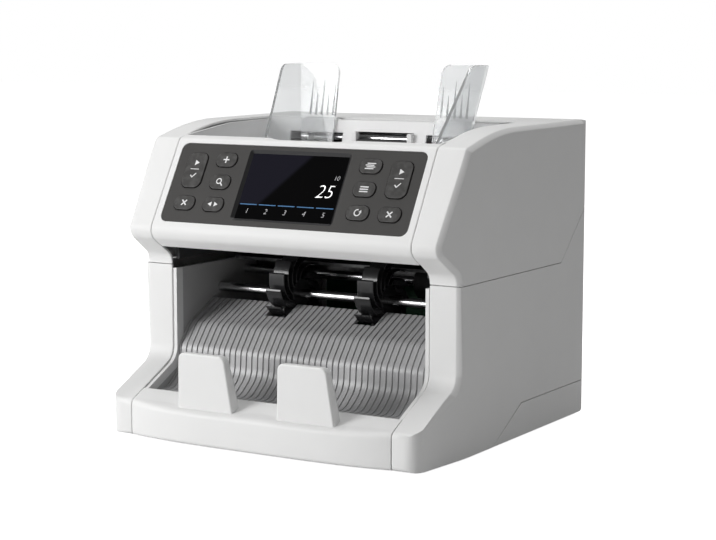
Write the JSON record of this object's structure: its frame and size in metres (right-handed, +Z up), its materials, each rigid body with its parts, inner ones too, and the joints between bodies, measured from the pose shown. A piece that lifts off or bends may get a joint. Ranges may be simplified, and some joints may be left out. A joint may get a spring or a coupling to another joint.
{
  "type": "banknote counter",
  "caption": "Desktop banknote counter with sloped keypad and display, open stacker pocket with note stops, hopper with clear sliding guides, and an upper unit hinged at the rear.",
  "frame": {"origin": "on the table under the middle of the overall box", "axes": "+X to the right seen from the front, +Y to the rear, +Z up"},
  "size_m": [0.239, 0.2346, 0.2403],
  "materials": {
    "housing_white": "fine satin texture",
    "fascia_grey": "matt dark grey",
    "key_grey": "matt dark grey elastomer",
    "display_black": "polished black window",
    "frame_dark": "dark grey moulding",
    "ramp_grey": "mid grey moulding with fine ribs",
    "hopper_grey": "mid grey moulding",
    "guide_clear": "clear polished plastic",
    "shaft_steel": "ground steel",
    "roller_black": "black rubber",
    "roller_red": "red-brown feed rubber",
    "wheel_black": "flexible black plastic",
    "motor_metal": "zinc plated can",
    "case_metal": "plain sheet case",
    "board_green": "printed circuit board",
    "socket_black": "black moulding",
    "foot_rubber": "soft rubber"
  },
  "bodies": {
    "base": {"base_tray": "housing_white", "left_lower_housing": "housing_white", "right_lower_housing": "housing_white", "base_bezel": "housing_white", "rear_lower_cover": "housing_white", "stacker_ramp": "ramp_grey", "lower_left_frame": "frame_dark", "lower_right_frame": "frame_dark", "lower_transport_guide": "frame_dark", "lower_image_sensor": "socket_black", "drive_motor": "motor_metal", "drive_belt": "roller_black", "main_board": "board_green", "power_supply": "case_metal", "power_inlet": "socket_black", "hinge_rod": "shaft_steel", "feet": "foot_rubber", "base_screws": "shaft_steel"},
    "motor_rotor": {"motor_pulley": "shaft_steel"},
    "drive_set": {"drive_shaft": "shaft_steel", "drive_rollers": "roller_black"},
    "stacker_set": {"stacker_shaft": "shaft_steel", "stacker_wheels": "wheel_black"},
    "rocker": {"power_switch": "socket_black"},
    "upper_unit": {"upper_housing": "housing_white", "panel_bezel": "housing_white", "key_fascia": "fascia_grey", "display_window": "display_black", "control_board": "board_green", "hopper_tray": "hopper_grey", "guide_rod": "shaft_steel", "upper_left_frame": "frame_dark", "upper_right_frame": "frame_dark", "upper_transport_guide": "frame_dark", "upper_image_sensor": "socket_black", "feed_motor": "motor_metal", "upper_belt": "roller_black", "pickup_belt": "roller_black", "retard_roller": "roller_black"},
    "button_start_left": {"key_start_left": "key_grey"},
    "button_add": {"key_add": "key_grey"},
    "button_detect": {"key_detect": "key_grey"},
    "button_clear_left": {"key_clear_left": "key_grey"},
    "button_mode": {"key_mode": "key_grey"},
    "button_batch": {"key_batch": "key_grey"},
    "button_menu": {"key_menu": "key_grey"},
    "button_auto": {"key_auto": "key_grey"},
    "button_start_right": {"key_start_right": "key_grey"},
    "button_clear_right": {"key_clear_right": "key_grey"},
    "left_slider": {"guide_left": "guide_clear"},
    "right_slider": {"guide_right": "guide_clear"},
    "transport_set": {"transport_shaft": "shaft_steel", "transport_rollers": "roller_black"},
    "feed_set": {"feed_shaft": "shaft_steel", "feed_rollers": "roller_red"},
    "pickup_set": {"pickup_shaft": "shaft_steel", "pickup_rollers": "roller_red"},
    "pinch_set": {"pinch_rollers": "fascia_grey"},
    "feed_rotor": {"feed_motor_pulley": "shaft_steel"}
  },
  "joints": [
    {"name": "upper_open", "type": "hinge", "parent": "base", "child": "upper_unit", "pos_m": [0, 0.11175, 0.14414], "axis": [-1, 0, 0], "range_deg": [0, 35]},
    {"name": "stacker_spin", "type": "hinge", "parent": "base", "child": "stacker_set", "pos_m": [0, -0.01475, 0.089], "axis": [1, 0, 0], "continuous": true},
    {"name": "drive_spin", "type": "hinge", "parent": "base", "child": "drive_set", "pos_m": [0, 0.01625, 0.0983], "axis": [1, 0, 0], "continuous": true},
    {"name": "motor_spin", "type": "hinge", "parent": "base", "child": "motor_rotor", "pos_m": [0, 0.04725, 0.06], "axis": [1, 0, 0], "continuous": true},
    {"name": "switch_tilt", "type": "hinge", "parent": "base", "child": "rocker", "pos_m": [0.0395, 0.11125, 0.046], "axis": [1, 0, 0], "range_deg": [0, 16]},
    {"name": "press_start_left", "type": "slide", "parent": "upper_unit", "child": "button_start_left", "axis": [0, 0.866, -0.5], "range_m": [0, 0.0008], "stiffness_N_per_m": 1200, "springref_m": -0.0005},
    {"name": "press_add", "type": "slide", "parent": "upper_unit", "child": "button_add", "axis": [0, 0.866, -0.5], "range_m": [0, 0.0008], "stiffness_N_per_m": 1200, "springref_m": -0.0005},
    {"name": "press_detect", "type": "slide", "parent": "upper_unit", "child": "button_detect", "axis": [0, 0.866, -0.5], "range_m": [0, 0.0008], "stiffness_N_per_m": 1200, "springref_m": -0.0005},
    {"name": "press_clear_left", "type": "slide", "parent": "upper_unit", "child": "button_clear_left", "axis": [0, 0.866, -0.5], "range_m": [0, 0.0008], "stiffness_N_per_m": 1200, "springref_m": -0.0005},
    {"name": "press_mode", "type": "slide", "parent": "upper_unit", "child": "button_mode", "axis": [0, 0.866, -0.5], "range_m": [0, 0.0008], "stiffness_N_per_m": 1200, "springref_m": -0.0005},
    {"name": "press_batch", "type": "slide", "parent": "upper_unit", "child": "button_batch", "axis": [0, 0.866, -0.5], "range_m": [0, 0.0008], "stiffness_N_per_m": 1200, "springref_m": -0.0005},
    {"name": "press_menu", "type": "slide", "parent": "upper_unit", "child": "button_menu", "axis": [0, 0.866, -0.5], "range_m": [0, 0.0008], "stiffness_N_per_m": 1200, "springref_m": -0.0005},
    {"name": "press_auto", "type": "slide", "parent": "upper_unit", "child": "button_auto", "axis": [0, 0.866, -0.5], "range_m": [0, 0.0008], "stiffness_N_per_m": 1200, "springref_m": -0.0005},
    {"name": "press_start_right", "type": "slide", "parent": "upper_unit", "child": "button_start_right", "axis": [0, 0.866, -0.5], "range_m": [0, 0.0008], "stiffness_N_per_m": 1200, "springref_m": -0.0005},
    {"name": "press_clear_right", "type": "slide", "parent": "upper_unit", "child": "button_clear_right", "axis": [0, 0.866, -0.5], "range_m": [0, 0.0008], "stiffness_N_per_m": 1200, "springref_m": -0.0005},
    {"name": "left_guide_slide", "type": "slide", "parent": "upper_unit", "child": "left_slider", "axis": [-1, 0, 0], "range_m": [-0.012, 0.016]},
    {"name": "right_guide_slide", "type": "slide", "parent": "upper_unit", "child": "right_slider", "axis": [1, 0, 0], "range_m": [-0.012, 0.016]},
    {"name": "transport_spin", "type": "hinge", "parent": "upper_unit", "child": "transport_set", "pos_m": [0, 0.06375, 0.1317], "axis": [1, 0, 0], "continuous": true},
    {"name": "feed_spin", "type": "hinge", "parent": "upper_unit", "child": "feed_set", "pos_m": [0, 0.0365, 0.1592], "axis": [1, 0, 0], "continuous": true},
    {"name": "pickup_spin", "type": "hinge", "parent": "upper_unit", "child": "pickup_set", "pos_m": [0, -0.00506, 0.17062], "axis": [1, 0, 0], "continuous": true},
    {"name": "pinch_spin", "type": "hinge", "parent": "upper_unit", "child": "pinch_set", "pos_m": [0, 0.01625, 0.1177], "axis": [1, 0, 0], "continuous": true},
    {"name": "feed_motor_spin", "type": "hinge", "parent": "upper_unit", "child": "feed_rotor", "pos_m": [0, 0.09425, 0.175], "axis": [1, 0, 0], "continuous": true}
  ],
  "couplings": [
    {"joint": "drive_spin", "follows": "stacker_spin", "ratio": 2},
    {"joint": "motor_spin", "follows": "stacker_spin", "ratio": 2.5714},
    {"joint": "feed_spin", "follows": "transport_spin", "ratio": 1.25},
    {"joint": "pickup_spin", "follows": "transport_spin", "ratio": 1.4286},
    {"joint": "feed_motor_spin", "follows": "transport_spin", "ratio": 1.6667}
  ]
}
